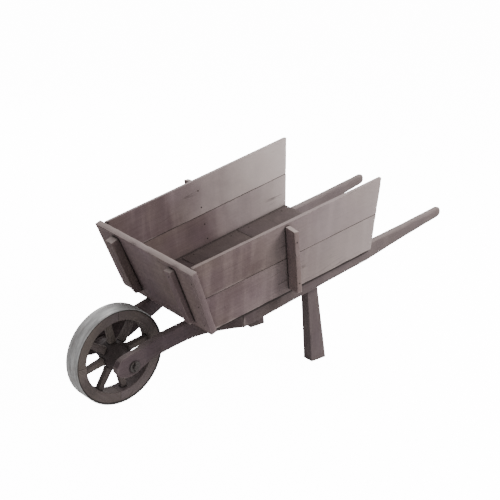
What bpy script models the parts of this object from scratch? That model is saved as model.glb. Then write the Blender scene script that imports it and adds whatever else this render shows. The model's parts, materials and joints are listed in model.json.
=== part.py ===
"""Wooden wheelbarrow with a spoked, iron-tyred wheel. Metres, +Z up.

+X runs from the wheel towards the handles, the left side is -Y, and the ground is Z = 0.
The origin is the middle of the footprint.
"""

import math

import bmesh
import bpy
from mathutils import Matrix, Vector

# ------------------------------------------------------------------ driving dimensions
GAP = 0.0003  # left between any two pieces that touch
EDGE_ROUND = 0.004
EDGE_WORN = 0.0016  # boards
BATTEN_WORN = 0.0025

# Wheel
WHEEL_RADIUS = 0.215
AXLE_X = -0.6911
AXLE_Z = WHEEL_RADIUS
TYRE_THICKNESS = 0.005
TYRE_WIDTH = 0.081
TYRE_EDGE = 0.0015
FELLOE_WIDTH = 0.077
FELLOE_INNER_RADIUS = 0.163
FELLOE_COUNT = 4
FELLOE_JOINT = 0.0012
FELLOE_STEPS = 24
SPOKE_ANGLES = (10.3, 56.0, 102.0, 147.0, 193.5, 238.5, 283.0, 328.0)  # degrees, hand set
SPOKE_WIDTH = 0.030
SPOKE_THICKNESS = 0.031
SPOKE_CORNER = 0.006
SPOKE_OUTER_SHARE = 0.92  # of its full size, where it meets the rim
TENON_HALF_WIDTH = 0.0120
TENON_HALF_THICKNESS = 0.0096
TENON_DEPTH = 0.014
HUB_RADIUS = 0.062
HUB_BELLY = 0.030  # half length of the part that holds the spokes
HUB_END_RADIUS = 0.042
HUB_END_LENGTH = 0.020
HUB_CHAMFER = 0.003
HUB_HALF_LENGTH = 0.104
AXLE_RADIUS = 0.012
AXLE_CHAMFER = 0.002
AXLE_HALF_LENGTH = 0.163
AXLE_PLAY = 0.001
WASHER_RADIUS = 0.025
WASHER_THICKNESS = 0.004
LINCH_PIN_RADIUS = 0.003
LINCH_PIN_HALF_LENGTH = 0.021
LINCH_PIN_FROM_END = 0.007

# Every timber of the frame and the tray rises towards the handles at this slope
SLOPE = 0.163

# Shafts: straight, with the top edge on one line; each runs from the front board to a grip
SHAFT_TOP_AT_AXLE = 0.3062  # height of the top edge line above X = AXLE_X
SHAFT_THICKNESS = 0.0355
SHAFT_OUTER_FRONT = 0.2660  # outer face to the centre line, at the front end
SHAFT_OUTER_REAR = 0.2780  # and at the grip
SHAFT_FRONT_X = -0.3824
SHAFT_REAR_X = 0.9061
SHOULDER_X = -0.2164  # behind this the shaft has its full depth
TONGUE_DEPTH = 0.036
SHAFT_DEPTH = 0.090
SHAFT_DEPTH_AT_TRAY_END = 0.074
TAPER_START_X = 0.4676
GRIP_DEPTH = 0.0465
GRIP_CORNER = 0.0145
GRIP_END = 0.018  # length of the rounded end
GRIP_END_STEPS = ((0.010, 0.93), (0.004, 0.78), (0.0, 0.50))  # from the end, share of the size
NOTCH_X = 0.2036
NOTCH_LENGTH = 0.018
NOTCH_DEPTH = 0.016
NOTCH_INTO_SHAFT = 0.012

# Arms: curved timbers from the axle to the shoulders of the shafts
ARM_THICKNESS = 0.0325
ARM_MIDDLE = 0.1320  # from the centre line, where the axle passes
ARM_TIP_X = -0.7774
ARM_TIP_SHARE = 0.55  # of the next station's depth
RIGHT_ARM_BELLY = 0.038  # the right arm is this much deeper at BELLY_X, fading over BELLY_REACH
BELLY_X = -0.5620
BELLY_REACH = 0.160
LAP_CLEARANCE = 0.0012
ARM_STATIONS = (
    # X, centre to the middle line, bottom, top
    (-0.7704, ARM_MIDDLE, 0.1960, 0.2420),
    (-0.7614, ARM_MIDDLE, 0.1850, 0.2540),
    (-0.7474, ARM_MIDDLE, 0.1770, 0.2630),
    (-0.7304, ARM_MIDDLE, 0.1730, 0.2690),
    (-0.7074, ARM_MIDDLE, 0.1735, 0.2735),
    (-0.6774, ARM_MIDDLE, 0.1830, 0.2790),
    (-0.6524, ARM_MIDDLE, 0.1970, 0.2860),
    (-0.6224, 0.1322, 0.2120, 0.2960),
    (-0.5824, 0.1325, 0.2260, 0.3070),
    (-0.5324, 0.1328, 0.2370, 0.3185),
    (-0.4774, 0.1340, 0.2465, 0.3275),
    (-0.4224, 0.1385, 0.2565, 0.3380),
    (-0.3824, 0.1480, 0.2640, 0.3440),
    (-0.3424, 0.1640, 0.2710, 0.3505),
    (-0.3024, 0.1850, 0.2780, 0.3570),
    (-0.2624, 0.2110, 0.2850, 0.3640),
    (-0.2024, 0.2560, 0.2955, 0.3740),
)

# Tray
FLOOR_THICKNESS = 0.014
FLOOR_FRONT_X = -0.3935
FLOOR_REAR_X = 0.4616
FLOOR_JOINTS_X = (-0.1414, 0.1716)
FLOOR_JOINT_GAP = 0.0008
PANEL_THICKNESS = 0.018
PANEL_FOOT = 0.2715  # inner face to the middle line, at the panel's bottom front
PANEL_FOOT_REAR = 0.2830
PANEL_DROP = 0.008  # bottom edge below the top of the shafts
PANEL_SPLAY = 0.0880  # outwards, for each metre up
PANEL_FRONT_HEIGHT = 0.3180  # above the bottom edge line, at the front board
PANEL_REAR_HEIGHT = 0.3370
PANEL_REAR_LEAN = 0.0740
SEAM_GAP = 0.0014
PANEL_CLEARANCE = 0.0012  # ahead of a side panel, whose end is cut square to its face

# Front board
BOARD_FOOT_X = -0.4224  # front face, bottom edge
BOARD_FOOT_Z = 0.3415
BOARD_LEAN = 0.3875  # forwards, for each metre up
BOARD_HEIGHT = 0.3330  # along its face
BOARD_THICKNESS = 0.030
BOARD_HALF_FOOT = 0.3200
BOARD_HALF_TOP = 0.3475

# Battens
FRONT_BATTENS = (
    # side, centre to the middle line at the foot and at the top, distance up the face,
    # width, depth, and how much higher the foot ends on its outer face and on its +Y edge
    (-1, 0.2000, 0.2030, 0.030, 0.314, 0.042, 0.027, 0.002, 0.002),
    (1, 0.1700, 0.1990, 0.042, 0.318, 0.050, 0.040, 0.010, 0.034),
)
SIDE_BATTENS = (
    # side, foot above the panel's bottom edge, top below the panel's top edge
    (-1, 0.009, 0.021),
    (1, 0.000, 0.022),
)
SIDE_BATTEN_X = 0.0160  # centre, at the bottom edge of the panel
SIDE_BATTEN_WIDTH = 0.025
SIDE_BATTEN_DEPTH = 0.061
SIDE_BATTEN_LEAN = 0.150  # forwards, for each metre up
SIDE_BATTEN_FALL = 0.006  # of its top, outwards

# Legs
LEG_X = 0.2216
LEG_TOP_Z = 0.4320
LEG_TOP_X = 0.1796
LEG_TOP_SIZE = (0.0540, 0.0440)
LEG_FOOT_SIZE = (0.0820, 0.0570)
LEG_FOOT_OUTER = 0.2450

# Materials: colour, metallic, roughness
WOOD = ((0.23, 0.18, 0.16), 0.0, 0.85)
DARK_WOOD = ((0.15, 0.12, 0.11), 0.0, 0.85)
IRON = ((0.16, 0.15, 0.15), 0.9, 0.55)

ACROSS = Vector((0, 1, 0))
UP = Vector((0, 0, 1))
SIDES = ((-1, "left"), (1, "right"))

# ------------------------------------------------------------------ scene and materials
for old in list(bpy.data.objects):
    bpy.data.objects.remove(old, do_unlink=True)

OBJECT = bpy.data.collections.new("Wheelbarrow")
CUTTERS = bpy.data.collections.new("Cutters")
bpy.context.scene.collection.children.link(OBJECT)
bpy.context.scene.collection.children.link(CUTTERS)


def material(name, kind, tone):
    colour, metallic, roughness = kind
    made = bpy.data.materials.new(name + "_material")
    made.use_nodes = True
    shader = made.node_tree.nodes["Principled BSDF"]
    shader.inputs["Base Color"].default_value = (*[part * tone for part in colour], 1.0)
    shader.inputs["Metallic"].default_value = metallic
    shader.inputs["Roughness"].default_value = roughness
    return made


def add(name, data, kind=WOOD, tone=1.0):
    obj = bpy.data.objects.new(name, data)
    OBJECT.objects.link(obj)
    data.materials.append(material(name, kind, tone))
    return obj


def cutter(name, data):
    obj = bpy.data.objects.new(name, data)
    CUTTERS.objects.link(obj)
    obj.hide_render = True
    obj.display_type = "WIRE"
    return obj


def cut(obj, tool):
    boolean = obj.modifiers.new("cut_" + tool.name, "BOOLEAN")
    boolean.operation = "DIFFERENCE"
    boolean.solver = "EXACT"
    boolean.object = tool


def soften(obj, width):
    """Rounds the sharp edges of a piece."""
    bevel = obj.modifiers.new("worn_edges", "BEVEL")
    bevel.width = width
    bevel.segments = 2
    bevel.limit_method = "ANGLE"
    bevel.angle_limit = math.radians(40)


# ------------------------------------------------------------------ shapes
def to_mesh(name, work):
    mesh = bpy.data.meshes.new(name)
    work.to_mesh(mesh)
    work.free()
    return mesh


def rounded_ring(half_u, half_v, radius, per_corner=3):
    """Points of a rectangle with rounded corners, counter-clockwise in (u, v)."""
    radius = min(radius, half_u * 0.999, half_v * 0.999)
    ring = []
    for turn, (side_u, side_v) in enumerate(((1, 1), (-1, 1), (-1, -1), (1, -1))):
        for step in range(per_corner + 1):
            angle = math.radians(90.0 * (turn + step / per_corner))
            u = side_u * (half_u - radius) + radius * math.cos(angle)
            v = side_v * (half_v - radius) + radius * math.sin(angle)
            ring.append((u, v))
    return ring


def loft(name, sections):
    """A closed solid through rings of equal length; each section is a list of points."""
    work = bmesh.new()
    rings = [[work.verts.new(point) for point in section] for section in sections]
    for first, second in zip(rings, rings[1:]):
        for index in range(len(first)):
            work.faces.new((first[index - 1], first[index], second[index], second[index - 1]))
    work.faces.new(reversed(rings[0]))
    work.faces.new(rings[-1])
    bmesh.ops.recalc_face_normals(work, faces=work.faces)
    return to_mesh(name, work)


def bar(name, stations, radius=EDGE_ROUND, per_corner=3):
    """A timber through stations of (centre, u direction, v direction, half u, half v).

    A station may add a corner radius of its own.
    """
    sections = []
    for centre, u_axis, v_axis, half_u, half_v, *own in stations:
        corner = own[0] if own else radius
        ring = rounded_ring(half_u, half_v, corner, per_corner)
        sections.append([centre + u_axis * u + v_axis * v for u, v in ring])
    mesh = loft(name, sections)
    mesh.shade_smooth()
    mesh.set_sharp_from_angle(angle=math.radians(50))
    return mesh


def rod(name, middle, direction, length, radius, segments):
    """A round rod, centred on a point."""
    work = bmesh.new()
    turn = Vector(direction).to_track_quat("Z", "Y").to_matrix().to_4x4()
    bmesh.ops.create_cone(
        work,
        cap_ends=True,
        segments=segments,
        radius1=radius,
        radius2=radius,
        depth=length,
        matrix=Matrix.Translation(middle) @ turn,
    )
    mesh = to_mesh(name, work)
    mesh.shade_smooth()
    mesh.set_sharp_from_angle(angle=math.radians(50))
    return mesh


def box(name, low, high):
    low = Vector(low)
    high = Vector(high)
    work = bmesh.new()
    placed = Matrix.Translation((low + high) / 2) @ Matrix.Diagonal((*(high - low), 1.0))
    bmesh.ops.create_cube(work, size=1.0, matrix=placed)
    return to_mesh(name, work)


def flat_outline(name, corners, thickness, towards):
    """A curve and its placing: a flat board with one face on these corners.

    The board's thickness lies on the side that the direction points to.
    """
    normal = (corners[1] - corners[0]).cross(corners[-1] - corners[0]).normalized()
    if normal.dot(towards) < 0:
        normal = -normal
    along = (corners[1] - corners[0]).normalized()
    turn = Matrix((along, normal.cross(along), normal)).transposed().to_4x4()
    place = Matrix.Translation(corners[0] + normal * thickness / 2) @ turn
    curve = bpy.data.curves.new(name, "CURVE")
    curve.dimensions = "2D"
    curve.fill_mode = "BOTH"
    curve.extrude = thickness / 2
    spline = curve.splines.new("POLY")
    spline.points.add(len(corners) - 1)
    back = place.inverted()
    for point, corner in zip(spline.points, corners):
        flat = back @ corner
        point.co = (flat.x, flat.y, 0.0, 1.0)
    spline.use_cyclic_u = True
    return curve, place


def board(name, corners, thickness, towards, tone, worn=EDGE_WORN):
    """A flat board with softened edges."""
    curve, place = flat_outline(name, corners, thickness, towards)
    obj = add(name, curve, WOOD, tone)
    obj.matrix_world = place
    weld = obj.modifiers.new("weld_caps", "WELD")
    weld.merge_threshold = 0.00005
    soften(obj, worn)
    return obj


def outline_cutter(name, corners, thickness, towards):
    """A cutter in the shape of a flat board."""
    curve, place = flat_outline(name, corners, thickness, towards)
    drawn = bpy.data.objects.new(name + "_outline", curve)
    CUTTERS.objects.link(drawn)
    graph = bpy.context.evaluated_depsgraph_get()
    mesh = bpy.data.meshes.new_from_object(drawn.evaluated_get(graph))
    bpy.data.objects.remove(drawn)
    work = bmesh.new()
    work.from_mesh(mesh)
    bmesh.ops.remove_doubles(work, verts=work.verts, dist=0.00001)
    bmesh.ops.recalc_face_normals(work, faces=work.faces)
    work.to_mesh(mesh)
    work.free()
    tool = cutter(name, mesh)
    tool.matrix_world = place
    return tool


def turned(name, profile, kind, tone, segments, closed=True):
    """A body turned about the axle from a profile of (radius, y) points."""
    mesh = bpy.data.meshes.new(name)
    points = [(radius, y, 0.0) for radius, y in profile]
    edges = [(index, index + 1) for index in range(len(points) - 1)]
    if closed:
        edges.append((len(points) - 1, 0))
    mesh.from_pydata(points, edges, [])
    obj = add(name, mesh, kind, tone)
    obj.location = (AXLE_X, 0.0, AXLE_Z)
    screw = obj.modifiers.new("turn", "SCREW")
    screw.axis = "Y"
    screw.angle = 2 * math.pi
    screw.steps = segments
    screw.render_steps = segments
    screw.use_merge_vertices = True
    screw.merge_threshold = 0.00005
    if closed:
        screw.use_normal_flip = True
    else:
        screw.use_normal_calculate = True
    return obj


def wheel_point(radius, angle, y=0.0):
    """A point by radius and angle in the wheel's plane."""
    return Vector((AXLE_X + radius * math.cos(angle), y, AXLE_Z + radius * math.sin(angle)))


# ------------------------------------------------------------------ lines of the frame
def between(low, high, share):
    return low + (high - low) * share


def shaft_top(x):
    return SHAFT_TOP_AT_AXLE + SLOPE * (x - AXLE_X)


def shaft_outer(x):
    share = (x - SHAFT_FRONT_X) / (SHAFT_REAR_X - SHAFT_FRONT_X)
    return between(SHAFT_OUTER_FRONT, SHAFT_OUTER_REAR, share)


def panel_bottom(x):
    return shaft_top(x) - PANEL_DROP


def panel_foot(x):
    share = (x - FLOOR_FRONT_X) / (FLOOR_REAR_X - FLOOR_FRONT_X)
    return between(PANEL_FOOT, PANEL_FOOT_REAR, share)


def panel_inner(x, z):
    """Inner face of a side panel, from the middle line."""
    return panel_foot(x) + PANEL_SPLAY * (z - panel_bottom(x))


BOARD_UP = Vector((-BOARD_LEAN, 0.0, 1.0)).normalized()
BOARD_OUT = Vector((-1.0, 0.0, -BOARD_LEAN)).normalized()
BOARD_FOOT = Vector((BOARD_FOOT_X, 0.0, BOARD_FOOT_Z))


def board_back_x(z):
    """Where a side panel meets the inner face of the front board, at a height."""
    inner = BOARD_FOOT - BOARD_OUT * BOARD_THICKNESS
    return inner.x - BOARD_LEAN * (z - inner.z) + PANEL_CLEARANCE


def panel_edge(end):
    """Bottom and top of a side panel's front or rear edge, as (x, z)."""
    if end == "rear":
        low = (FLOOR_REAR_X, panel_bottom(FLOOR_REAR_X))
        return low, (low[0] + PANEL_REAR_LEAN * PANEL_REAR_HEIGHT, low[1] + PANEL_REAR_HEIGHT)
    low_x = board_back_x(BOARD_FOOT_Z)
    low_z = panel_bottom(low_x)
    low_x = max(low_x, board_back_x(low_z))
    high_z = low_z + PANEL_FRONT_HEIGHT
    return (low_x, low_z), (board_back_x(high_z), high_z)


def panel_top(x):
    """Height of a side panel's top edge."""
    _, front = panel_edge("front")
    _, rear = panel_edge("rear")
    return between(front[1], rear[1], (x - front[0]) / (rear[0] - front[0]))


# ------------------------------------------------------------------ wheel
def make_tyre():
    outer = WHEEL_RADIUS
    inner = WHEEL_RADIUS - TYRE_THICKNESS
    half = TYRE_WIDTH / 2
    profile = (
        (inner, -half),
        (outer - TYRE_EDGE, -half),
        (outer, -half + TYRE_EDGE),
        (outer, half - TYRE_EDGE),
        (outer - TYRE_EDGE, half),
        (inner, half),
    )
    turned("wheel_tyre", profile, IRON, 1.5, 96)


def make_felloes():
    outer = WHEEL_RADIUS - TYRE_THICKNESS - GAP
    inner = FELLOE_INNER_RADIUS
    half_angle = math.pi / FELLOE_COUNT - FELLOE_JOINT / (2 * outer)
    felloes = []
    for index in range(FELLOE_COUNT):
        middle = 2 * math.pi * (index + 0.5) / FELLOE_COUNT
        stations = []
        for step in range(FELLOE_STEPS + 1):
            angle = middle + half_angle * (2 * step / FELLOE_STEPS - 1)
            radial = Vector((math.cos(angle), 0.0, math.sin(angle)))
            centre = wheel_point((outer + inner) / 2, angle)
            stations.append((centre, radial, ACROSS, (outer - inner) / 2, FELLOE_WIDTH / 2))
        name = f"wheel_felloe_{index + 1}"
        felloes.append(add(name, bar(name, stations, per_corner=2), DARK_WOOD, 1.15))
    return felloes


def make_hub():
    half = HUB_HALF_LENGTH
    bore = AXLE_RADIUS + GAP
    one_end = (
        (bore, half),
        (HUB_END_RADIUS - HUB_CHAMFER, half),
        (HUB_END_RADIUS, half - HUB_CHAMFER),
        (HUB_END_RADIUS, half - HUB_END_LENGTH),
        (HUB_RADIUS - 0.008, HUB_BELLY + 0.012),
        (HUB_RADIUS, HUB_BELLY),
    )
    profile = [(radius, -y) for radius, y in one_end] + list(reversed(one_end))
    return turned("wheel_hub", profile, DARK_WOOD, 1.0, 48)


def spoke_stations(angle):
    """A round-edged spoke with a tenon at each end."""
    thick = Vector((-math.sin(angle), 0.0, math.cos(angle)))
    inside = HUB_RADIUS + GAP
    outside = FELLOE_INNER_RADIUS - 3 * GAP
    step = 0.0002  # a shoulder, all but square
    tenon = (TENON_HALF_WIDTH, TENON_HALF_THICKNESS, 0.001)
    full = (SPOKE_WIDTH / 2, SPOKE_THICKNESS / 2, SPOKE_CORNER)
    rooted = (full[0] * 1.05, full[1] * 1.10, 0.005)
    slim = (full[0] * SPOKE_OUTER_SHARE, full[1] * SPOKE_OUTER_SHARE, SPOKE_CORNER)
    places = (
        (HUB_RADIUS - TENON_DEPTH, tenon),
        (inside - step, tenon),
        (inside, rooted),
        (inside + 0.020, full),
        (outside - 0.012, slim),
        (outside, slim),
        (outside + step, tenon),
        (FELLOE_INNER_RADIUS + TENON_DEPTH, tenon),
    )
    return [(wheel_point(radius, angle), ACROSS, thick, *size) for radius, size in places]


def mortise(name, angle, start, end):
    thick = Vector((-math.sin(angle), 0.0, math.cos(angle)))
    size = (TENON_HALF_WIDTH + GAP, TENON_HALF_THICKNESS + 2 * GAP, 0.001)
    stations = [(wheel_point(radius, angle), ACROSS, thick, *size) for radius in (start, end)]
    return cutter(name, bar(name, stations))


def make_wheel():
    make_tyre()
    felloes = make_felloes()
    hub = make_hub()
    depth = TENON_DEPTH + 0.001
    clear = 0.01
    for number, degrees in enumerate(SPOKE_ANGLES, start=1):
        angle = math.radians(degrees)
        name = f"wheel_spoke_{number}"
        add(name, bar(name, spoke_stations(angle)), DARK_WOOD, 1.1)
        cut(hub, mortise(f"mortise_hub_{number}", angle, HUB_RADIUS - depth, HUB_RADIUS + clear))
        inner = FELLOE_INNER_RADIUS
        socket = mortise(f"mortise_rim_{number}", angle, inner - clear, inner + depth)
        cut(felloes[int(degrees // (360 / FELLOE_COUNT))], socket)


def make_axle():
    end = AXLE_HALF_LENGTH
    profile = (
        (0.0, -end),
        (AXLE_RADIUS - AXLE_CHAMFER, -end),
        (AXLE_RADIUS, -end + AXLE_CHAMFER),
        (AXLE_RADIUS, end - AXLE_CHAMFER),
        (AXLE_RADIUS - AXLE_CHAMFER, end),
        (0.0, end),
    )
    axle = turned("axle", profile, IRON, 1.1, 32, closed=False)
    length = 2 * LINCH_PIN_HALF_LENGTH
    for side, word in SIDES:
        middle = wheel_point(0.0, 0.0, side * (end - LINCH_PIN_FROM_END))
        hole = rod(f"pin_hole_{word}", middle, UP, length + 0.02, LINCH_PIN_RADIUS + GAP, 16)
        cut(axle, cutter(f"pin_hole_{word}", hole))
        name = f"linch_pin_{word}"
        add(name, rod(name, middle, UP, length, LINCH_PIN_RADIUS, 16), IRON, 1.3)

        start = side * (ARM_MIDDLE + ARM_THICKNESS / 2 + GAP)
        low, high = sorted((start, start + side * WASHER_THICKNESS))
        inner = AXLE_RADIUS + GAP
        ring = ((inner, low), (WASHER_RADIUS, low), (WASHER_RADIUS, high), (inner, high))
        turned(f"axle_washer_{word}", ring, IRON, 1.4, 32)


# ------------------------------------------------------------------ frame
def shaft_station(side, x, depth, half, corner):
    """A section of a shaft; a section that is smaller than the grip lies in its middle."""
    drop = max(GRIP_DEPTH - depth, 0.0) / 2
    y = side * (shaft_outer(x) - SHAFT_THICKNESS / 2)
    middle = Vector((x, y, shaft_top(x) - depth / 2 - drop))
    return (middle, ACROSS, UP, half, depth / 2, corner)


def shaft_stations(side):
    half = SHAFT_THICKNESS / 2
    stations = [shaft_station(side, SHAFT_FRONT_X, SHAFT_DEPTH, half, EDGE_ROUND)]
    steps = 5
    for step in range(steps + 1):
        share = step / steps
        x = between(SHOULDER_X, TAPER_START_X, share)
        depth = between(SHAFT_DEPTH, SHAFT_DEPTH_AT_TRAY_END, share)
        stations.append(shaft_station(side, x, depth, half, EDGE_ROUND))
    steps = 6
    for step in range(1, steps + 1):
        share = step / steps
        x = between(TAPER_START_X, SHAFT_REAR_X - GRIP_END, share)
        depth = between(SHAFT_DEPTH_AT_TRAY_END, GRIP_DEPTH, share)
        corner = between(EDGE_ROUND, GRIP_CORNER, min(2 * share, 1.0))
        stations.append(shaft_station(side, x, depth, half, corner))
    for back, share in GRIP_END_STEPS:
        depth = GRIP_DEPTH * share
        x = SHAFT_REAR_X - back
        stations.append(shaft_station(side, x, depth, half * share, depth * 0.36))
    return stations


def sloping_corners(side, start, stop, drop, low, high):
    """Four corners of an upright face that follows the slope of the shafts, at the middle line."""
    corners = []
    for x, rise in ((start, low), (stop, low), (stop, high), (start, high)):
        corners.append(Vector((x, side * drop, shaft_top(x) + rise)))
    return corners


def make_shaft(side, word):
    """One timber from the front board to the grip, cut away below its front end for the arm."""
    name = f"{word}_shaft"
    shaft = add(name, bar(name, shaft_stations(side)), WOOD, 0.95)

    corners = sloping_corners(side, SHAFT_FRONT_X - 0.02, SHOULDER_X, 0.15, -0.2, -TONGUE_DEPTH)
    relief = outline_cutter(f"{word}_relief", corners, 0.2, ACROSS * side)
    cut(shaft, relief)

    top = shaft_top(NOTCH_X)
    outer = shaft_outer(NOTCH_X)
    near, far = sorted((side * (outer - NOTCH_INTO_SHAFT), side * (outer + 0.02)))
    low = (NOTCH_X - NOTCH_LENGTH / 2, near, top - NOTCH_DEPTH)
    high = (NOTCH_X + NOTCH_LENGTH / 2, far, top + 0.02)
    cut(shaft, cutter(f"{word}_notch", box(f"{word}_notch", low, high)))


def arm_stations(side):
    stations = []
    for index, (x, y, low, high) in enumerate(ARM_STATIONS):
        before = ARM_STATIONS[max(index - 1, 0)]
        after = ARM_STATIONS[min(index + 1, len(ARM_STATIONS) - 1)]
        plan = Vector((after[0] - before[0], side * (after[1] - before[1]), 0.0)).normalized()
        thick = UP.cross(plan)
        if side > 0:
            away = min(abs(x - BELLY_X) / BELLY_REACH, 1.0)
            low -= RIGHT_ARM_BELLY * math.cos(away * math.pi / 2) ** 2
        centre = Vector((x, side * y, (low + high) / 2))
        stations.append((centre, thick, UP, ARM_THICKNESS / 2, (high - low) / 2))
    centre, thick, _, half, depth = stations[0]
    nose = Vector((ARM_TIP_X, centre.y, centre.z))
    return [(nose, thick, UP, half, depth * ARM_TIP_SHARE), *stations]


def make_arm(side, word):
    """A curved timber: the rounded nose holds the axle, the tail is halved into the shaft."""
    name = f"{word}_arm"
    arm = add(name, bar(name, arm_stations(side)), DARK_WOOD, 1.25)

    middle = wheel_point(0.0, 0.0, side * ARM_MIDDLE)
    hole = rod(f"{word}_axle_hole", middle, ACROSS, 0.11, AXLE_RADIUS + AXLE_PLAY, 32)
    cut(arm, cutter(f"{word}_axle_hole", hole))

    # what the shaft's front end fills is taken off the top of the tail
    inner = shaft_outer(SHOULDER_X) - SHAFT_THICKNESS - LAP_CLEARANCE
    low = -TONGUE_DEPTH - GAP
    corners = sloping_corners(side, SHAFT_FRONT_X - 0.004, SHOULDER_X + 0.05, inner, low, 0.16)
    cut(arm, outline_cutter(f"{word}_lap", corners, 0.1, ACROSS * side))

    near, far = sorted((side * 0.10, side * 0.36))
    stop = box(f"{word}_arm_stop", (SHOULDER_X - GAP, near, 0.15), (SHOULDER_X + 0.12, far, 0.55))
    cut(arm, cutter(f"{word}_arm_stop", stop))


def make_leg(side, word):
    """A post against the inner face of the shaft; it widens towards the foot."""
    forward = Vector((1, 0, 0))
    contact_z = shaft_top(LEG_TOP_X) - SHAFT_DEPTH
    contact = shaft_outer(LEG_TOP_X) - SHAFT_THICKNESS - 3 * GAP
    stations = []
    for z in (0.0, 0.12, contact_z, LEG_TOP_Z):
        share = z / LEG_TOP_Z
        half_x = between(LEG_FOOT_SIZE[0], LEG_TOP_SIZE[0], share) / 2
        half_y = between(LEG_FOOT_SIZE[1], LEG_TOP_SIZE[1], share) / 2
        outer = between(LEG_FOOT_OUTER, contact, min(z / contact_z, 1.0))
        centre = Vector((between(LEG_X, LEG_TOP_X, share), side * (outer - half_y), z))
        stations.append((centre, forward, ACROSS, half_x, half_y))
    name = f"{word}_leg"
    add(name, bar(name, stations), WOOD, 0.9)


# ------------------------------------------------------------------ tray
def make_floor():
    edges = (FLOOR_FRONT_X, *FLOOR_JOINTS_X, FLOOR_REAR_X)
    for index, (first, last) in enumerate(zip(edges, edges[1:])):
        if index > 0:
            first += FLOOR_JOINT_GAP / 2
        if last != FLOOR_REAR_X:
            last -= FLOOR_JOINT_GAP / 2
        corners = []
        for x, side in ((first, -1), (last, -1), (last, 1), (first, 1)):
            corners.append(Vector((x, side * (panel_foot(x) - 2 * GAP), shaft_top(x) + GAP)))
        board(f"floor_plank_{index + 1}", corners, FLOOR_THICKNESS, UP, 0.7)


def make_side(side, word):
    """Two boards, one above the other, that lean outwards."""
    for level, low, high, tone in (("lower", 0.0, 0.5, 1.0), ("upper", 0.5, 1.0, 1.1)):
        corners = []
        for end, share in (("front", low), ("rear", low), ("rear", high), ("front", high)):
            foot, head = panel_edge(end)
            x = between(foot[0], head[0], share)
            z = between(foot[1], head[1], share)
            if share == 0.5:
                z += SEAM_GAP / 2 if level == "upper" else -SEAM_GAP / 2
            corners.append(Vector((x, side * (panel_inner(x, z) + GAP), z)))
        board(f"{word}_side_{level}_board", corners, PANEL_THICKNESS, ACROSS * side, tone)


def make_front_board():
    foot = BOARD_FOOT
    top = BOARD_FOOT + BOARD_UP * BOARD_HEIGHT
    corners = [
        foot - ACROSS * BOARD_HALF_FOOT,
        foot + ACROSS * BOARD_HALF_FOOT,
        top + ACROSS * BOARD_HALF_TOP,
        top - ACROSS * BOARD_HALF_TOP,
    ]
    board("front_board", corners, BOARD_THICKNESS, -BOARD_OUT, 0.95, worn=0.0022)


def make_front_battens():
    """Hand-cut strips up the front board, each with a foot that is cut askew."""
    for side, foot, top, low, high, width, depth, outer_rise, edge_rise in FRONT_BATTENS:
        sections = []
        for out, raised in ((GAP, 0.0), (GAP + depth, outer_rise)):
            face = BOARD_FOOT + BOARD_OUT * out
            ring = [
                face + BOARD_UP * (low + raised) + ACROSS * (side * foot - width / 2),
                face + BOARD_UP * (low + raised + edge_rise) + ACROSS * (side * foot + width / 2),
                face + BOARD_UP * high + ACROSS * (side * top + width / 2),
                face + BOARD_UP * high + ACROSS * (side * top - width / 2),
            ]
            sections.append(ring)
        name = "front_batten_left" if side < 0 else "front_batten_right"
        soften(add(name, loft(name, sections), WOOD, 0.9), BATTEN_WORN)


def make_side_battens():
    """A deep strip up the outside of each panel, leaning forwards with a sloping top."""
    for side, foot, below in SIDE_BATTENS:
        bottom = panel_bottom(SIDE_BATTEN_X)
        height = panel_top(SIDE_BATTEN_X) - bottom - below
        sections = []
        for rise, fall in ((foot, 0.0), (height, SIDE_BATTEN_FALL)):
            x = SIDE_BATTEN_X - SIDE_BATTEN_LEAN * rise
            inner = panel_inner(x, bottom + rise) + PANEL_THICKNESS + 5 * GAP
            ring = []
            for along, out in ((-1, 0), (1, 0), (1, 1), (-1, 1)):
                y = side * (inner + out * SIDE_BATTEN_DEPTH)
                z = bottom + rise - fall * out
                ring.append(Vector((x + along * SIDE_BATTEN_WIDTH / 2, y, z)))
            sections.append(ring)
        name = "left_side_batten" if side < 0 else "right_side_batten"
        soften(add(name, loft(name, sections), WOOD, 0.85), BATTEN_WORN)


# ------------------------------------------------------------------ the barrow
make_wheel()
make_axle()
for side, word in SIDES:
    make_shaft(side, word)
    make_arm(side, word)
    make_leg(side, word)
    make_side(side, word)
make_floor()
make_front_board()
make_front_battens()
make_side_battens()

# the wheel and what turns with it hang from an empty on the joint's axis
spin = bpy.data.objects.new("wheel_spin_axis", None)
spin.location = (AXLE_X, 0.0, AXLE_Z)
OBJECT.objects.link(spin)
bpy.context.view_layer.update()
for part in OBJECT.objects:
    if part.name.startswith(("wheel_", "axle", "linch_pin")) and part is not spin:
        part.parent = spin
        part.matrix_parent_inverse = spin.matrix_world.inverted()
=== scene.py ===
"""Final looks of the weathered wooden wheelbarrow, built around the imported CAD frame.

Every timber is a worn copy of its CAD node, in a bare weathered wood whose grain runs along the piece.
The iron pieces are slightly dented copies of theirs. The nail heads have no node and share one object.
The frame's own axes hold throughout: +X to the handles, -Y the left side, +Z up, metres.
"""

import json
import math

import bmesh
import bpy
from mathutils import Matrix, Vector, noise
from mathutils.bvhtree import BVHTree


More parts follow.
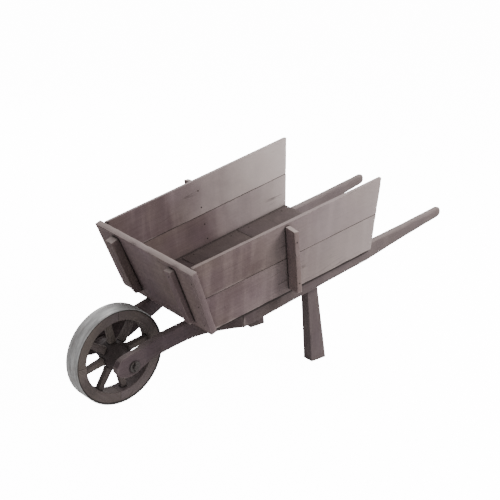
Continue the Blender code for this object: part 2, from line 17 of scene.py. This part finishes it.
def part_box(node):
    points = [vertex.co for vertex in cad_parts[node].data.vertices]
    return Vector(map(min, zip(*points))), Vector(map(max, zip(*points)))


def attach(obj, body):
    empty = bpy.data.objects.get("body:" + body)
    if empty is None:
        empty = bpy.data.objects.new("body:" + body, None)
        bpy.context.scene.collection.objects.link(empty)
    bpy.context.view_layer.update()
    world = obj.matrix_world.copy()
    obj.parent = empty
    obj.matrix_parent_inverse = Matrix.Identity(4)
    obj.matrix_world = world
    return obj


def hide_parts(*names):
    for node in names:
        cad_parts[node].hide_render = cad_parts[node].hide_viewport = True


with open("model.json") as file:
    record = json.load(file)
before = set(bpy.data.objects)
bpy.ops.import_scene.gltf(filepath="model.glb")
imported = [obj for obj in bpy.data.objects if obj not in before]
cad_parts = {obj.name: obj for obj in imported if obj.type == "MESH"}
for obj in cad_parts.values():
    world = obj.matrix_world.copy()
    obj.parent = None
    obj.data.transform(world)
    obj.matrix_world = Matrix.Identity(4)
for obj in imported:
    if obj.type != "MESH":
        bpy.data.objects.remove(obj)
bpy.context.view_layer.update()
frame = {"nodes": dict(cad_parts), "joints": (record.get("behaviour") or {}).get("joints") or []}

# ------------------------------------------------------------------ directions and places
X = Vector((1, 0, 0))
Y = Vector((0, 1, 0))
Z = Vector((0, 0, 1))
SLOPE = 0.163  # rise of the shafts, the floor and the side boards for each metre of X
LEAN = 0.3875  # how far the front board leans towards the wheel for each metre of height
RISE = Vector((1, 0, SLOPE)).normalized()
BOARD_UP = Vector((-LEAN, 0, 1)).normalized()
AXLE = Vector(frame["joints"][0]["pos_m"])
FELLOE_RADIUS = 0.2097  # of the wooden rim, inside the tyre
SHAFT_TOP = 0.4189  # height of the line of the shafts' top edges where X is 0
BOARD_SHADOW_FOOT = (0.039, 0.033)  # below that line, where the painted shadow of the side boards on the shafts begins and is full
BOARD_SHADOW_BACK = (0.475, 0.462)  # X where it begins and is full, at the back of the tray
RIM_SHADE_BAND = (0.0065, 0.0025)  # inwards from FELLOE_RADIUS, where the painted shade against the tyre begins and is full
CORNER_REACH = 0.04  # how far the shade of a corner reaches
JOINT_REACH = 0.009  # how far the painted shade of a joint reaches

# ------------------------------------------------------------------ colours, linear
BLEACHED = (0.40, 0.335, 0.315)
# the colour of the painted light towards the handles
LIT_PALE = (0.52, 0.45, 0.435)
PANEL = (0.165, 0.126, 0.126)
PANEL_DARK = (0.092, 0.064, 0.069)
BOARD = (0.24, 0.19, 0.186)
BOARD_DARK = (0.14, 0.103, 0.107)
FRAME = (0.092, 0.07, 0.072)
FRAME_DARK = (0.05, 0.036, 0.039)
ARM = (0.13, 0.103, 0.107)
FLOOR = (0.055, 0.038, 0.038)
FLOOR_DARK = (0.03, 0.02, 0.021)
WHEEL = (0.18, 0.155, 0.15)
WHEEL_DARK = (0.085, 0.07, 0.07)
HUB_DARK = (0.035, 0.028, 0.028)
# the colour of cracks and pits, and of the painted shade in corners, in joints, below the side boards and
# against the tyre
CRACK_AND_SHADE = (0.018, 0.013, 0.013)
RAIN_STAIN = (0.5, 0.44, 0.46)  # multiplies the wood's colour
FIBRE_SHADE = (0.4, 0.34, 0.34)  # multiplies the wood's colour
WARM = (1.03, 1.0, 0.92)  # multiplies the wood's colour
COOL = (1.0, 0.93, 1.0)  # multiplies the wood's colour
RUST = (0.11, 0.06, 0.04)
WORN_IRON = (0.36, 0.36, 0.355)
SMALL_IRON = (0.07, 0.062, 0.06)
DARK_IRON = (0.03, 0.024, 0.023)

# ------------------------------------------------------------------ studio levels
BACKDROP = 14.0  # how bright the floor and the sky look to the camera
FILL = 0.36  # how brightly the sky lights every surface
GLOSS = 1.0  # how bright the sky looks in a reflection
FLOOR_GLOSS = 0.6  # the floor's share of that
STUDIO_WHITE = (1, 0.99, 1, 1)


# ------------------------------------------------------------------ node helpers
def add_node(tree, kind, inputs=None, **settings):
    made = tree.nodes.new(kind)
    for key, value in settings.items():
        setattr(made, key, value)
    for key, value in (inputs or {}).items():
        if isinstance(value, bpy.types.NodeSocket):
            tree.links.new(value, made.inputs[key])
        else:
            made.inputs[key].default_value = value
    return made


def calc(tree, operation, a, b=0.0, c=0.0, clamp=False):
    inputs = {0: a, 1: b, 2: c}
    return add_node(tree, "ShaderNodeMath", inputs, operation=operation, use_clamp=clamp).outputs[0]


def vector_calc(tree, operation, a, b):
    return add_node(tree, "ShaderNodeVectorMath", {0: a, 1: b}, operation=operation).outputs["Vector"]


def dot(tree, vector, direction):
    inputs = {0: vector, 1: tuple(direction)}
    return add_node(tree, "ShaderNodeVectorMath", inputs, operation="DOT_PRODUCT").outputs["Value"]


def object_place(tree):
    return add_node(tree, "ShaderNodeTexCoord").outputs["Object"]


def spread(tree, value, low, high, to_low=0.0, to_high=1.0):
    """Maps low..high onto to_low..to_high, clamped."""
    inputs = {"Value": value, "From Min": low, "From Max": high, "To Min": to_low, "To Max": to_high}
    return add_node(tree, "ShaderNodeMapRange", inputs).outputs["Result"]


def blend(tree, share, a, b, mode="MIX"):
    made = add_node(tree, "ShaderNodeMix", data_type="RGBA", blend_type=mode)
    for index, value in ((0, share), (6, a), (7, b)):
        if isinstance(value, bpy.types.NodeSocket):
            tree.links.new(value, made.inputs[index])
        elif index:
            made.inputs[index].default_value = (*value, 1.0)
        else:
            made.inputs[index].default_value = value
    return made.outputs[2]


def cloud(tree, axes, scales, seed, detail, roughness=0.6, distortion=0.0):
    """Noise over the object, along three axes that each have their own scale. The seed shifts it."""
    place = object_place(tree)
    parts = [dot(tree, place, axis * scale) for axis, scale in zip(axes, scales)]
    joined = add_node(tree, "ShaderNodeCombineXYZ", {"X": parts[0], "Y": parts[1], "Z": parts[2]}).outputs[0]
    inputs = {
        "Vector": vector_calc(tree, "ADD", joined, (seed * 3.7, seed * 5.3, seed * 1.9)),
        "Scale": 1.0,
        "Detail": detail,
        "Roughness": roughness,
        "Distortion": distortion,
    }
    return add_node(tree, "ShaderNodeTexNoise", inputs).outputs["Fac"]


def occlusion_shade(tree, reach):
    """1 where nothing stands within reach of the surface, and less in corners and joints. The wood is
    darkened by it as painted shade.
    """
    return add_node(tree, "ShaderNodeAmbientOcclusion", {"Distance": reach}, samples=6).outputs["AO"]


def new_material(name):
    made = bpy.data.materials.new(name)
    made.use_nodes = True
    return made, made.node_tree, made.node_tree.nodes["Principled BSDF"]


# ------------------------------------------------------------------ materials
def wood(name, grain, across, light, dark, seed, runs, wear, bleach_and_top_light, lit_towards_handles=None, board_shadow=0.0,
         ends=(BLEACHED, 0.15), rim_shade=None):
    """Bare weathered wood.

    runs is how strongly rain has streaked it, wear how pale its edges are, and bleach_and_top_light how
    pale its upward faces are, as sun bleaching and as painted top light. lit_towards_handles is the X where
    painted light starts to turn it paler towards the handles, and how pale it gets. board_shadow is how dark
    the painted shadow is on the strip below a side board, ends the colour and share on end grain, and
    rim_shade the radius of the painted shade ring on the felloes against the tyre."""
    made, tree, shader = new_material(name)
    along_grain = (grain, across, grain.cross(across))
    upright = (X, Y, Z)
    bands = cloud(tree, along_grain, (1.3, 55, 55), seed, 5, 0.6, 0.3)
    fibres = cloud(tree, along_grain, (7, 420, 420), seed + 1, 3)
    blotches = cloud(tree, upright, (4.5, 4.5, 4.5), seed + 2, 5)
    streaks = cloud(tree, upright, (17, 17, 1.5), seed + 3, 4, 0.55)
    ridge = cloud(tree, along_grain, (0.9, 18, 18), seed + 4, 2, 0.5, 0.2)
    patches = cloud(tree, upright, (7, 7, 7), seed + 5, 2, 0.5)
    hue = cloud(tree, upright, (3, 3, 3), seed + 6, 3)

    # the wood itself: broad tone, rain streaks, fine fibres, and a slow drift of hue
    tone = calc(tree, "MULTIPLY_ADD", spread(tree, bands, 0.25, 0.75), 0.34, 0.12)
    tone = calc(tree, "MULTIPLY_ADD", spread(tree, blotches, 0.3, 0.7), 0.5, tone, clamp=True)
    colour = blend(tree, tone, dark, light)
    colour = blend(tree, spread(tree, streaks, 0.4, 0.7, 0.0, runs), colour, RAIN_STAIN, "MULTIPLY")
    colour = blend(tree, spread(tree, streaks, 0.5, 0.28, 0.0, runs * 0.4), colour, BLEACHED)
    colour = blend(tree, spread(tree, fibres, 0.35, 0.62, 0.2, 0.0), colour, FIBRE_SHADE, "MULTIPLY")
    tint = blend(tree, spread(tree, hue, 0.35, 0.65), WARM, COOL)
    colour = blend(tree, 1.0, colour, tint, "MULTIPLY")
    # painted light: the wood turns paler towards the handles
    if lit_towards_handles:
        start, share = lit_towards_handles
        along = dot(tree, object_place(tree), X)
        along = calc(tree, "MULTIPLY_ADD", blotches, 0.3, calc(tree, "SUBTRACT", along, 0.15))
        colour = blend(tree, spread(tree, along, start, 0.5, 0.0, share), colour, LIT_PALE)

    # end grain, upward faces painted paler as sun bleaching and as painted top light, and rubbed edges
    geometry = add_node(tree, "ShaderNodeNewGeometry")
    normal = geometry.outputs["True Normal"]
    end_grain = spread(tree, calc(tree, "ABSOLUTE", dot(tree, normal, grain)), 0.8, 0.95)
    end_colour, end_share = ends
    colour = blend(tree, calc(tree, "MULTIPLY", end_grain, end_share), colour, end_colour)
    colour = blend(tree, spread(tree, dot(tree, normal, Z), 0.6, 0.95, 0.0, bleach_and_top_light), colour, BLEACHED)
    edge = spread(tree, geometry.outputs["Pointiness"], 0.52, 0.6)
    rubbed = calc(tree, "MULTIPLY", edge, spread(tree, patches, 0.35, 0.6, 0.25, 1.0))
    colour = blend(tree, calc(tree, "MULTIPLY", rubbed, wear), colour, BLEACHED)

    # cracks, and painted shade in corners and joints
    line = calc(tree, "ABSOLUTE", calc(tree, "SUBTRACT", ridge, 0.5))
    crack = calc(tree, "MULTIPLY", spread(tree, line, 0.006, 0.002), spread(tree, patches, 0.54, 0.66))
    colour = blend(tree, calc(tree, "MULTIPLY", crack, 0.45), colour, CRACK_AND_SHADE)
    corner_shade = occlusion_shade(tree, CORNER_REACH)
    colour = blend(tree, spread(tree, corner_shade, 0.8, 0.2, 0.0, 0.7), colour, CRACK_AND_SHADE)
    joint_shade = occlusion_shade(tree, JOINT_REACH)
    colour = blend(tree, spread(tree, joint_shade, 0.88, 0.5, 0.0, 0.9), colour, CRACK_AND_SHADE)
    # painted shadow: a dark strip on the shafts just below the side boards, along the tray
    if board_shadow:
        place = object_place(tree)
        depth = calc(tree, "ADD", dot(tree, place, (SLOPE, 0, -1)), SHAFT_TOP)
        below_board = spread(tree, depth, *BOARD_SHADOW_FOOT)
        beside_tray = spread(tree, dot(tree, place, X), *BOARD_SHADOW_BACK)
        board_shadow_share = calc(tree, "MULTIPLY", below_board, beside_tray)
        colour = blend(tree, calc(tree, "MULTIPLY", board_shadow_share, board_shadow), colour, CRACK_AND_SHADE)
    # painted shade: a dark ring on the felloes just inside the tyre
    if rim_shade:
        from_axle = vector_calc(tree, "SUBTRACT", object_place(tree), tuple(AXLE))
        from_axle = vector_calc(tree, "MULTIPLY", from_axle, (1, 0, 1))
        radius = add_node(tree, "ShaderNodeVectorMath", {0: from_axle}, operation="LENGTH").outputs["Value"]
        begins, full = (rim_shade - inwards for inwards in RIM_SHADE_BAND)
        colour = blend(tree, spread(tree, radius, begins, full, 0.0, 0.85), colour, CRACK_AND_SHADE)

    height = calc(tree, "MULTIPLY_ADD", fibres, 0.6, calc(tree, "MULTIPLY", bands, 0.8))
    height = calc(tree, "SUBTRACT", height, calc(tree, "MULTIPLY", crack, 1.2))
    bump = add_node(tree, "ShaderNodeBump", {"Height": height, "Strength": 0.4, "Distance": 0.001})
    tree.links.new(bump.outputs["Normal"], shader.inputs["Normal"])
    tree.links.new(colour, shader.inputs["Base Color"])
    tree.links.new(spread(tree, fibres, 0.3, 0.7, 0.9, 0.72), shader.inputs["Roughness"])
    shader.inputs["Specular IOR Level"].default_value = 0.25
    return made


def iron(name, worn, seed, rust=0.4):
    """Dull forged iron. worn is its colour where it is rubbed, and rust how strong the rust patches are."""
    made, tree, shader = new_material(name)
    upright = (X, Y, Z)
    patches = cloud(tree, upright, (22, 22, 22), seed, 6, 0.65)
    pits = cloud(tree, upright, (260, 260, 260), seed + 1, 3)
    scuffs = cloud(tree, upright, (9, 60, 9), seed + 2, 5)
    base = blend(tree, 0.45, DARK_IRON, worn)
    colour = blend(tree, spread(tree, scuffs, 0.3, 0.7), base, worn)
    colour = blend(tree, spread(tree, patches, 0.52, 0.72, 0.0, rust), colour, RUST)
    colour = blend(tree, spread(tree, pits, 0.62, 0.75, 0.0, 0.5), colour, CRACK_AND_SHADE)
    height = calc(tree, "MULTIPLY_ADD", patches, 1.0, calc(tree, "MULTIPLY", pits, 0.5))
    bump = add_node(tree, "ShaderNodeBump", {"Height": height, "Strength": 0.4, "Distance": 0.0008})
    tree.links.new(bump.outputs["Normal"], shader.inputs["Normal"])
    tree.links.new(colour, shader.inputs["Base Color"])
    tree.links.new(spread(tree, scuffs, 0.3, 0.7, 0.7, 0.48), shader.inputs["Roughness"])
    shader.inputs["Metallic"].default_value = 0.8
    return made


# ------------------------------------------------------------------ shapes
FLAT = math.radians(0.4)  # faces that turn less than this are joined before a timber is cut into a grid
CHIPPED = math.radians(28)  # an edge that turns this much chips fully
SHARP = math.radians(38)  # an edge that turns this much is shaded sharp
WELD = 2e-5


def cut_grid(work, axes, steps):
    """Cuts a mesh by evenly spaced planes across each axis, so that it can be worn unevenly."""
    for axis, step in zip(axes, steps):
        along = [vert.co.dot(axis) for vert in work.verts]
        low = min(along)
        length = max(along) - low
        count = max(1, round(length / step))
        for index in range(1, count):
            everything = work.verts[:] + work.edges[:] + work.faces[:]
            point = axis * (low + length * index / count)
            bmesh.ops.bisect_plane(work, geom=everything, dist=1e-6, plane_co=point, plane_no=axis)


def wear_down(work, axes, wobble, chips, seed):
    """Moves each point inwards: a little everywhere, and more where an edge has chipped."""
    shift = Vector((seed * 7.1, seed * 3.3, seed * 9.7))
    work.normal_update()
    moves = []
    for vert in work.verts:
        place = Vector([vert.co.dot(axis) for axis in axes])
        turn = max([edge.calc_face_angle(0.0) for edge in vert.link_edges], default=0.0)
        edge = min(turn / CHIPPED, 1.0)
        broad = noise.noise(Vector((place.x * 5, place.y * 13, place.z * 13)) + shift)
        small = noise.noise(Vector((place.x * 24, place.y * 60, place.z * 60)) - shift)
        chip = noise.noise(Vector((place.x * 17, place.y * 34, place.z * 34)) + shift * 2)
        depth = wobble * (0.75 + 0.5 * broad + 0.25 * small)
        depth += chips * edge * (max(chip - 0.05, 0.0) * 1.6 + 0.12)
        moves.append((vert, vert.normal * max(depth, 0.0)))
    for vert, move in moves:
        vert.co -= move


def smooth_faces(work):
    for face in work.faces:
        face.smooth = True
    for edge in work.edges:
        edge.smooth = edge.calc_face_angle(0.0) < SHARP


def copy_of(node, suffix, body, material, shape):
    """A piece that stands for a CAD node. shape is a function that changes the copied mesh."""
    work = bmesh.new()
    work.from_mesh(frame["nodes"][node].data)
    bmesh.ops.remove_doubles(work, verts=work.verts, dist=WELD)
    shape(work)
    smooth_faces(work)
    mesh = bpy.data.meshes.new(node + suffix)
    work.to_mesh(mesh)
    work.free()
    mesh.materials.append(material)
    piece = bpy.data.objects.new(node + suffix, mesh)
    bpy.context.scene.collection.objects.link(piece)
    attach(piece, body)
    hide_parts(node)
    return piece


def timber(node, body, slot_name, material, grain, across, seed, wobble, chips, step=0.016):
    axes = (grain, across, grain.cross(across))

    def shape(work):
        bmesh.ops.dissolve_limit(work, angle_limit=FLAT, verts=work.verts, edges=work.edges)
        cut_grid(work, axes, (step, step * 0.8, step * 0.8))
        wear_down(work, axes, wobble, chips, seed)

    return copy_of(node, "_timber", body, material, shape)


def forging(node, body, material, seed, dents=0.0003):
    def shape(work):
        wear_down(work, (X, Y, Z), dents, 0.0, seed)

    return copy_of(node, "_forged", body, material, shape)


# ------------------------------------------------------------------ timbers
# how unevenly each kind of timber is worn and how deeply its edges are chipped, in metres
PANEL_WEAR = {"wobble": 0.0004, "chips": 0.0015}
FRONT_WEAR = {"wobble": 0.0005, "chips": 0.002}
FLOOR_WEAR = {"wobble": 0.0001, "chips": 0.0003}
BATTEN_WEAR = {"wobble": 0.0004, "chips": 0.0015, "step": 0.012}
SHAFT_WEAR = {"wobble": 0.0003, "chips": 0.001, "step": 0.018}
FRAME_WEAR = {"wobble": 0.0003, "chips": 0.001, "step": 0.014}
FELLOE_WEAR = {"wobble": 0.0003, "chips": 0.0008, "step": 0.014}
SPOKE_WEAR = {"wobble": 0.0003, "chips": 0.001, "step": 0.010}

# painted light towards the handles, for each side board: the X where it starts, and how pale it gets
SIDE_LIT_TOWARDS_HANDLES = {
    ("left", "lower"): (-0.25, 0.5),
    ("left", "upper"): (-0.25, 0.5),
    ("right", "lower"): (0.0, 0.85),
    ("right", "upper"): (-0.2, 1.0),
}
# a little painted light towards the handles, for the floor and the frame
SLIGHTLY_LIT_TOWARDS_HANDLES = (-0.25, 0.12)

pieces = {}


def clad(node, body, slot_name, light, dark, grain, across, seed, look, shape):
    """Replaces a CAD node by a worn timber. look holds the wood's settings, and shape the timber's."""
    material = wood(node + "_wood", grain, across, light, dark, seed, **look)
    pieces[node] = timber(node, body, slot_name, material, grain, across, seed, **shape)


def clad_tray(node, *style):
    clad(node, "frame", "tray_wood", *style)


def clad_frame(node, *style):
    clad(node, "frame", "frame_wood", *style)


def clad_wheel(node, *style):
    clad(node, "wheel", "wheel_wood", *style)


# the tray
seed = 0.0
for side in ("left", "right"):
    for level in ("lower", "upper"):
        seed += 1.37
        look = {"runs": 0.35, "wear": 0.6, "bleach_and_top_light": 0.3, "lit_towards_handles": SIDE_LIT_TOWARDS_HANDLES[side, level]}
        clad_tray(f"{side}_side_{level}_board", PANEL, PANEL_DARK, RISE, Y, seed, look, PANEL_WEAR)
look = {"runs": 0.25, "wear": 0.5, "bleach_and_top_light": 0.5, "ends": (PANEL_DARK, 0.6)}
clad_tray("front_board", BOARD, BOARD_DARK, Y, BOARD_UP, 11.3, look, FRONT_WEAR)
look = {"runs": 0.1, "wear": 0.3, "bleach_and_top_light": 0.0, "lit_towards_handles": SLIGHTLY_LIT_TOWARDS_HANDLES}
for index in (1, 2, 3):
    name = f"floor_plank_{index}"
    clad(name, "frame", "floor_wood", FLOOR, FLOOR_DARK, Y, RISE, 20 + index * 2.3, look, FLOOR_WEAR)
look = {"runs": 0.15, "wear": 0.8, "bleach_and_top_light": 0.6}
for side in ("left", "right"):
    seed += 2.11
    clad_frame(f"{side}_side_batten", BOARD, PANEL_DARK, Z, Y, seed, look, BATTEN_WEAR)
    clad_frame(f"front_batten_{side}", BOARD, PANEL_DARK, BOARD_UP, Y, seed + 0.9, look, BATTEN_WEAR)

# the frame
look = {"runs": 0.15, "wear": 0.55, "bleach_and_top_light": 0.3, "lit_towards_handles": SLIGHTLY_LIT_TOWARDS_HANDLES}
# the shafts carry the painted shadow of the side boards
shaft_look = {**look, "board_shadow": 0.92}
for side in ("left", "right"):
    seed += 1.73
    clad_frame(f"{side}_shaft", FRAME, FRAME_DARK, RISE, Y, seed, shaft_look, SHAFT_WEAR)
    clad_frame(f"{side}_arm", ARM, FRAME_DARK, RISE, Y, seed + 0.4, look, FRAME_WEAR)
    clad_frame(f"{side}_leg", FRAME, FRAME_DARK, Z, Y, seed + 0.8, look, FRAME_WEAR)

# the wheel, with each felloe's grain along its chord and each spoke's along its length
look = {"runs": 0.0, "wear": 0.5, "bleach_and_top_light": 0.0}
# the felloes carry a ring of painted shade against the tyre
felloe_look = {**look, "wear": 0.2, "rim_shade": FELLOE_RADIUS}
for index in range(4):
    turn = math.radians(90 * index + 45)
    radial = Vector((math.cos(turn), 0, math.sin(turn)))
    chord = Vector((-math.sin(turn), 0, math.cos(turn)))
    name = f"wheel_felloe_{index + 1}"
    clad_wheel(name, WHEEL, WHEEL_DARK, chord, radial, 40 + index * 1.9, felloe_look, FELLOE_WEAR)
for index in range(8):
    name = f"wheel_spoke_{index + 1}"
    low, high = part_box(name)
    along = (low + high) / 2 - AXLE
    along.y = 0
    along.normalize()
    clad_wheel(name, WHEEL, WHEEL_DARK, along, Y, 50 + index * 1.3, look, SPOKE_WEAR)
clad_wheel("wheel_hub", WHEEL_DARK, HUB_DARK, Y, X, 70, look, SPOKE_WEAR)

# ------------------------------------------------------------------ iron
forging("wheel_tyre", "wheel", iron("tyre_iron", WORN_IRON, 3.0, 0.25), 3.0)
small_iron = iron("small_iron", SMALL_IRON, 5.0)
for node in ("axle", "axle_washer_left", "axle_washer_right", "linch_pin_left", "linch_pin_right"):
    forging(node, "wheel", small_iron, 6.0, 0.0001)

# ------------------------------------------------------------------ nail heads
NAIL_RADIUS = 0.0038
NAIL_SIDES = 9
NAIL_RINGS = (  # share of the radius, and height above the wood
    (0.0, 0.0011),
    (0.45, 0.001),
    (0.85, 0.0006),
    (1.0, 0.0001),
    (1.0, -0.0015),
)
BEFORE_WHEEL = -1.2  # X where the rays that place the front nails start
BESIDE_TRAY = 0.6  # Y, either way, where those of the side battens start
ABOVE_FLOOR = 0.75  # Z where those of the floor start
FRONT_FOOT = 0.3415  # height of the front board's foot
FRONT_NAILS = ((0.04, 0.289), (0.145, 0.300), (0.277, 0.319))  # up the board, and out from its middle
FRONT_BATTEN_NAILS = {  # height, and out from the middle
    "left": ((0.60, 0.203),),
    "right": ((0.47, 0.183), (0.62, 0.196)),
}
SIDE_BATTEN_NAILS = (0.47, 0.67)  # heights
SIDE_BOARD_NAILS = ((0.46, "lower"), (0.53, "lower"), (0.61, "upper"), (0.69, "upper"))
BATTEN_X = 0.016  # of the side battens at the height BATTEN_Z
BATTEN_Z = 0.41
BATTEN_LEAN = 0.150  # how far they lean towards the wheel for each metre of height
FLOOR_NAILS = ((1, (-0.34, -0.19)), (2, (-0.09, 0.12)), (3, (0.22, 0.41)))  # plank, and X of its rows
FLOOR_NAIL_Y = 0.252

nail_mesh = bmesh.new()


def nail(target, start, direction, seed):
    """A flattened, slightly uneven head on the first surface of the target that the ray meets."""
    mesh = pieces[target].data
    tree = BVHTree.FromPolygons([v.co for v in mesh.vertices], [list(p.vertices) for p in mesh.polygons])
    place, normal, _, _ = tree.ray_cast(start, direction)
    side = normal.orthogonal().normalized()
    other = normal.cross(side)
    rings = []
    for share, height in NAIL_RINGS:
        ring = []
        for step in range(NAIL_SIDES if share else 1):
            angle = 2 * math.pi * step / NAIL_SIDES
            uneven = 1 + 0.14 * noise.noise(Vector((seed, step * 0.9, 4.0)))
            offset = (side * math.cos(angle) + other * math.sin(angle)) * NAIL_RADIUS * share * uneven
            ring.append(nail_mesh.verts.new(place + offset + normal * height))
        rings.append(ring)
    for step in range(NAIL_SIDES):
        after = (step + 1) % NAIL_SIDES
        nail_mesh.faces.new((rings[0][0], rings[1][step], rings[1][after]))
        for upper, lower in zip(rings[1:], rings[2:]):
            nail_mesh.faces.new((upper[step], lower[step], lower[after], upper[after]))
    nail_mesh.faces.new(list(reversed(rings[-1])))


def batten_x(z):
    return BATTEN_X - BATTEN_LEAN * (z - BATTEN_Z)


# through the front board into the ends of the side boards
for side in (-1, 1):
    for up, out in FRONT_NAILS:
        start = Vector((BEFORE_WHEEL, side * out, FRONT_FOOT + up * BOARD_UP.z))
        nail("front_board", start, X, up * 40 + side)

# through the front battens into the board
for side, word in ((-1, "left"), (1, "right")):
    for z, out in FRONT_BATTEN_NAILS[word]:
        nail(f"front_batten_{word}", Vector((BEFORE_WHEEL, side * out, z)), X, z * 30 + side)

# through the side battens from outside, and through the side boards from inside
for side, word in ((-1, "left"), (1, "right")):
    for z in SIDE_BATTEN_NAILS:
        nail(f"{word}_side_batten", Vector((batten_x(z), side * BESIDE_TRAY, z)), Y * -side, z * 50 + side)
    for z, level in SIDE_BOARD_NAILS:
        nail(f"{word}_side_{level}_board", Vector((batten_x(z), 0, z)), Y * side, z * 70 + side)

# down through the floor planks into the shafts
for index, rows in FLOOR_NAILS:
    for x in rows:
        for side in (-1, 1):
            start = Vector((x, side * FLOOR_NAIL_Y, ABOVE_FLOOR))
            nail(f"floor_plank_{index}", start, -Z, x * 40 + side)

for face in nail_mesh.faces:
    face.smooth = True
mesh = bpy.data.meshes.new("nail_heads")
nail_mesh.to_mesh(mesh)
nail_mesh.free()
mesh.materials.append(iron("nail_iron", DARK_IRON, 8.0))
nails = bpy.data.objects.new("nail_heads", mesh)
bpy.context.scene.collection.objects.link(nails)
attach(nails, "frame")

# ------------------------------------------------------------------ studio floor
FLOOR_HALF = 40
FLOOR_Z = -0.0005  # just below the feet

work = bmesh.new()
place = Matrix.Translation((0, 0, FLOOR_Z))
bmesh.ops.create_grid(work, x_segments=1, y_segments=1, size=FLOOR_HALF, matrix=place)
mesh = bpy.data.meshes.new("studio_floor")
work.to_mesh(mesh)
work.free()
floor = bpy.data.objects.new("studio_floor", mesh)
bpy.context.scene.collection.objects.link(floor)
floor_material, tree, shader = new_material("studio_floor")
shader.inputs["Base Color"].default_value = (0.88, 0.88, 0.88, 1)
shader.inputs["Roughness"].default_value = 0.9
shader.inputs["Emission Color"].default_value = STUDIO_WHITE
rays = add_node(tree, "ShaderNodeLightPath")
reflected = calc(tree, "MULTIPLY", rays.outputs["Is Glossy Ray"], GLOSS * FLOOR_GLOSS)
glow = calc(tree, "MULTIPLY_ADD", rays.outputs["Is Camera Ray"], BACKDROP, reflected)
tree.links.new(glow, shader.inputs["Emission Strength"])
mesh.materials.append(floor_material)

# ------------------------------------------------------------------ light
world = bpy.data.worlds.new("studio")
bpy.context.scene.world = world
world.use_nodes = True
tree = world.node_tree
rays = add_node(tree, "ShaderNodeLightPath")
glow = calc(tree, "MULTIPLY_ADD", rays.outputs["Is Camera Ray"], BACKDROP, FILL)
glow = calc(tree, "MULTIPLY_ADD", rays.outputs["Is Glossy Ray"], GLOSS, glow)
background = tree.nodes["Background"]
background.inputs["Color"].default_value = STUDIO_WHITE
tree.links.new(glow, background.inputs["Strength"])


def area_light(name, place, target, size, watts, colour=(1, 1, 1)):
    data = bpy.data.lights.new(name, "AREA")
    data.energy = watts
    data.size = size
    data.color = colour
    lamp = bpy.data.objects.new(name, data)
    lamp.location = place
    lamp.rotation_euler = (Vector(target) - Vector(place)).to_track_quat("-Z", "Y").to_euler()
    bpy.context.scene.collection.objects.link(lamp)


area_light("key", (2.2, -2.5, 3.0), (0.1, 0.1, 0.5), size=1.5, watts=195, colour=(1, 0.985, 0.96))
area_light("top", (0.5, 0.2, 3.0), (0.0, 0.0, 0.4), size=2.0, watts=30)
area_light("far_side", (0.6, 3.4, 1.9), (0.0, 0.0, 0.4), size=2.0, watts=60)

# ------------------------------------------------------------------ camera
data = bpy.data.cameras.new("camera")
data.lens = 123.165
data.sensor_width = 36
data.clip_end = 200
camera = bpy.data.objects.new("camera", data)
camera.location = (-4.18943, -5.35746, 3.45370)
camera.rotation_euler = (math.radians(66.535), 0.0, math.radians(-38.208))
bpy.context.scene.collection.objects.link(camera)
bpy.context.scene.camera = camera
